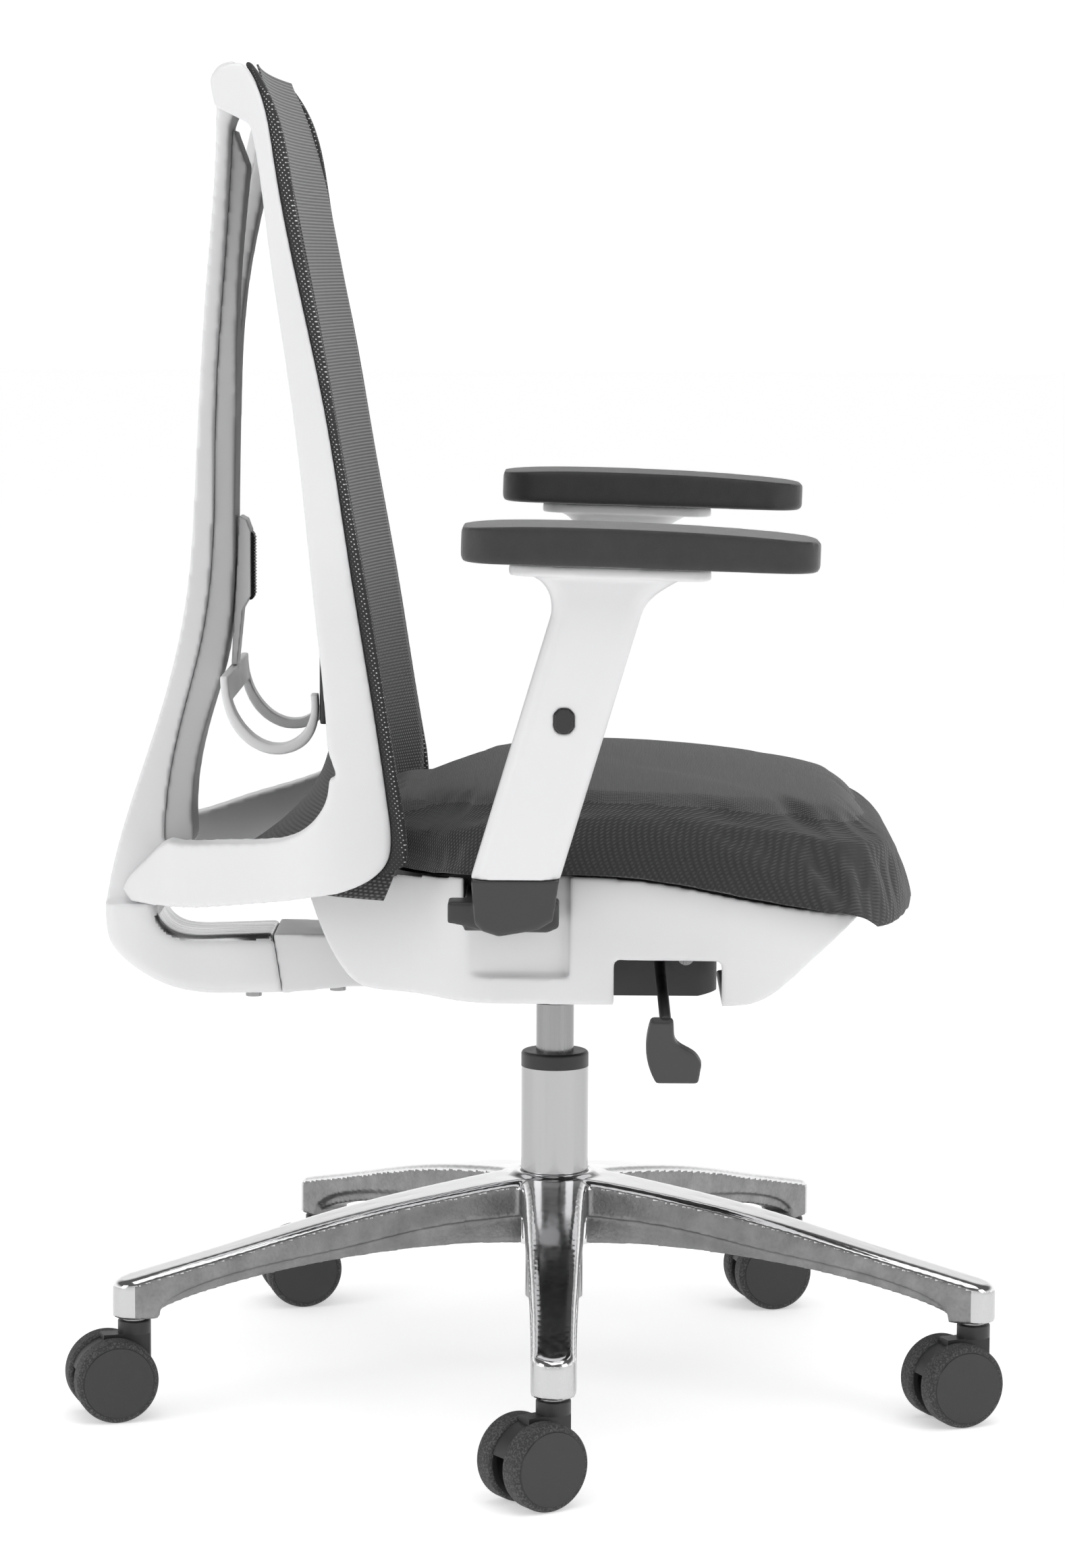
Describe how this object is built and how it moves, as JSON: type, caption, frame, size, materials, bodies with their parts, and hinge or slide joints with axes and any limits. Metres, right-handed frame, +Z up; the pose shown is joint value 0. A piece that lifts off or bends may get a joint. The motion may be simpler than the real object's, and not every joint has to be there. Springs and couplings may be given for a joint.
{
  "type": "swivel office chair",
  "caption": "Swivel office chair with mesh back on a forked spine, padded seat, adjustable arms and a five-star base on twin-wheel casters.",
  "frame": {"origin": "on the floor, on the axis of the gas column", "axes": "+Z up, -Y the way the sitter faces, +X to the sitter's left"},
  "size_m": [0.7107, 0.6805, 0.969],
  "materials": {
    "polished_aluminium": "polished",
    "chrome_tube": "polished",
    "steel": "satin",
    "black_plastic": "matte",
    "wheel": "matte",
    "black_paint": "satin",
    "white_plastic": "satin",
    "grey_plastic": "satin",
    "mesh_fabric": "woven",
    "seat_fabric": "knit",
    "pad_rubber": "matte"
  },
  "bodies": {
    "base": {"five_star_base": "polished_aluminium", "column_tube": "chrome_tube", "column_collar": "black_plastic"},
    "piston": {"gas_rod": "steel"},
    "chassis": {"mechanism_housing": "black_paint", "mechanism_cover": "black_paint", "pivot_pins": "steel", "tilt_springs": "steel"},
    "lever": {"lever_shaft": "black_plastic", "lever_paddle": "black_plastic"},
    "seat": {"seat_cushion": "seat_fabric", "seat_pan": "black_plastic", "seat_shroud": "white_plastic", "seat_carrier": "black_paint", "arm_bracket_left": "black_paint", "arm_bracket_right": "black_paint"},
    "arm_left": {"arm_post_left": "white_plastic"},
    "button_left": {"arm_button_left": "black_plastic"},
    "pad_left": {"arm_pad_left": "pad_rubber"},
    "back": {"back_rail_left": "white_plastic", "mesh_edge_left": "mesh_fabric", "back_rail_right": "white_plastic", "mesh_edge_right": "mesh_fabric", "back_carrier": "white_plastic", "back_bracket": "white_plastic", "back_spine": "white_plastic", "carrier_bolts": "steel", "spine_insert": "grey_plastic", "back_mesh": "mesh_fabric"},
    "arm_right": {"arm_post_right": "white_plastic"},
    "button_right": {"arm_button_right": "black_plastic"},
    "pad_right": {"arm_pad_right": "pad_rubber"},
    "lumbar": {"lumbar_slider": "white_plastic", "lumbar_yoke": "white_plastic", "lumbar_pad": "black_plastic"},
    "caster_1": {"caster_1_hood": "black_plastic", "caster_1_stem": "steel", "caster_1_axle": "steel"},
    "caster_1_wheel_a": {"caster_1_wheel_a": "wheel"},
    "caster_1_wheel_b": {"caster_1_wheel_b": "wheel"},
    "caster_2": {"caster_2_hood": "black_plastic", "caster_2_stem": "steel", "caster_2_axle": "steel"},
    "caster_2_wheel_a": {"caster_2_wheel_a": "wheel"},
    "caster_2_wheel_b": {"caster_2_wheel_b": "wheel"},
    "caster_3": {"caster_3_hood": "black_plastic", "caster_3_stem": "steel", "caster_3_axle": "steel"},
    "caster_3_wheel_a": {"caster_3_wheel_a": "wheel"},
    "caster_3_wheel_b": {"caster_3_wheel_b": "wheel"},
    "caster_4": {"caster_4_hood": "black_plastic", "caster_4_stem": "steel", "caster_4_axle": "steel"},
    "caster_4_wheel_a": {"caster_4_wheel_a": "wheel"},
    "caster_4_wheel_b": {"caster_4_wheel_b": "wheel"},
    "caster_5": {"caster_5_hood": "black_plastic", "caster_5_stem": "steel", "caster_5_axle": "steel"},
    "caster_5_wheel_a": {"caster_5_wheel_a": "wheel"},
    "caster_5_wheel_b": {"caster_5_wheel_b": "wheel"}
  },
  "joints": [
    {"name": "caster_1_swivel", "type": "hinge", "parent": "base", "child": "caster_1", "pos_m": [-0.31999, -0.00223, 0.073], "axis": [0, 0, 1], "continuous": true},
    {"name": "caster_1_roll_a", "type": "hinge", "parent": "caster_1", "child": "caster_1_wheel_a", "pos_m": [-0.3295, 0.01186, 0.03], "axis": [0.829, 0.5592, 0], "continuous": true},
    {"name": "caster_1_roll_b", "type": "hinge", "parent": "caster_1", "child": "caster_1_wheel_b", "pos_m": [-0.3295, 0.01186, 0.03], "axis": [0.829, 0.5592, 0], "continuous": true},
    {"name": "caster_2_swivel", "type": "hinge", "parent": "base", "child": "caster_2", "pos_m": [-0.09676, -0.30502, 0.073], "axis": [0, 0, 1], "continuous": true},
    {"name": "caster_2_roll_a", "type": "hinge", "parent": "caster_2", "child": "caster_2_wheel_a", "pos_m": [-0.1034, -0.28937, 0.03], "axis": [0.9205, 0.3907, 0], "continuous": true},
    {"name": "caster_2_roll_b", "type": "hinge", "parent": "caster_2", "child": "caster_2_wheel_b", "pos_m": [-0.1034, -0.28937, 0.03], "axis": [0.9205, 0.3907, 0], "continuous": true},
    {"name": "caster_3_swivel", "type": "hinge", "parent": "base", "child": "caster_3", "pos_m": [0.26019, -0.18628, 0.073], "axis": [0, 0, 1], "continuous": true},
    {"name": "caster_3_roll_a", "type": "hinge", "parent": "caster_3", "child": "caster_3_wheel_a", "pos_m": [0.25579, -0.16986, 0.03], "axis": [0.9659, 0.2588, 0], "continuous": true},
    {"name": "caster_3_roll_b", "type": "hinge", "parent": "caster_3", "child": "caster_3_wheel_b", "pos_m": [0.25579, -0.16986, 0.03], "axis": [0.9659, 0.2588, 0], "continuous": true},
    {"name": "caster_4_swivel", "type": "hinge", "parent": "base", "child": "caster_4", "pos_m": [0.25757, 0.18989, 0.073], "axis": [0, 0, 1], "continuous": true},
    {"name": "caster_4_roll_a", "type": "hinge", "parent": "caster_4", "child": "caster_4_wheel_a", "pos_m": [0.25345, 0.20639, 0.03], "axis": [0.9703, 0.2419, 0], "continuous": true},
    {"name": "caster_4_roll_b", "type": "hinge", "parent": "caster_4", "child": "caster_4_wheel_b", "pos_m": [0.25345, 0.20639, 0.03], "axis": [0.9703, 0.2419, 0], "continuous": true},
    {"name": "caster_5_swivel", "type": "hinge", "parent": "base", "child": "caster_5", "pos_m": [-0.10101, 0.30364, 0.073], "axis": [0, 0, 1], "continuous": true},
    {"name": "caster_5_roll_a", "type": "hinge", "parent": "caster_5", "child": "caster_5_wheel_a", "pos_m": [-0.10626, 0.31981, 0.03], "axis": [0.9511, 0.309, 0], "continuous": true},
    {"name": "caster_5_roll_b", "type": "hinge", "parent": "caster_5", "child": "caster_5_wheel_b", "pos_m": [-0.10626, 0.31981, 0.03], "axis": [0.9511, 0.309, 0], "continuous": true},
    {"name": "seat_height", "type": "slide", "parent": "base", "child": "piston", "axis": [0, 0, 1], "range_m": [-0.03, 0.07]},
    {"name": "seat_swivel", "type": "hinge", "parent": "piston", "child": "chassis", "pos_m": [0, 0, 0.3], "axis": [0, 0, 1], "continuous": true},
    {"name": "back_recline", "type": "hinge", "parent": "chassis", "child": "back", "pos_m": [0, 0.04, 0.324], "axis": [-1, 0, 0], "range_deg": [0, 18]},
    {"name": "seat_tilt", "type": "hinge", "parent": "chassis", "child": "seat", "pos_m": [0, -0.095, 0.334], "axis": [-1, 0, 0], "range_deg": [0, 4.5]},
    {"name": "height_lever", "type": "hinge", "parent": "chassis", "child": "lever", "pos_m": [-0.15, -0.076, 0.33], "axis": [1, 0, 0], "range_deg": [0, 18], "stiffness_Nm_per_rad": 0.6},
    {"name": "arm_height_left", "type": "slide", "parent": "seat", "child": "arm_left", "axis": [0, -0.2874, 0.9578], "range_m": [-0.008, 0.072]},
    {"name": "arm_button_press_left", "type": "slide", "parent": "arm_left", "child": "button_left", "axis": [-1, 0, 0], "range_m": [0, 0.0015], "stiffness_N_per_m": 400},
    {"name": "arm_pad_slide_left", "type": "slide", "parent": "arm_left", "child": "pad_left", "axis": [0, -0.9996, -0.0279], "range_m": [-0.025, 0.025]},
    {"name": "arm_height_right", "type": "slide", "parent": "seat", "child": "arm_right", "axis": [0, -0.2874, 0.9578], "range_m": [0, 0.08]},
    {"name": "arm_button_press_right", "type": "slide", "parent": "arm_right", "child": "button_right", "axis": [1, 0, 0], "range_m": [0, 0.0015], "stiffness_N_per_m": 400},
    {"name": "arm_pad_slide_right", "type": "slide", "parent": "arm_right", "child": "pad_right", "axis": [0, -0.9996, -0.0279], "range_m": [-0.025, 0.025]},
    {"name": "lumbar_height", "type": "slide", "parent": "back", "child": "lumbar", "axis": [0, -0.084, 0.9965], "range_m": [-0.015, 0.03]}
  ],
  "couplings": [
    {"joint": "seat_tilt", "follows": "back_recline", "ratio": 0.25}
  ]
}
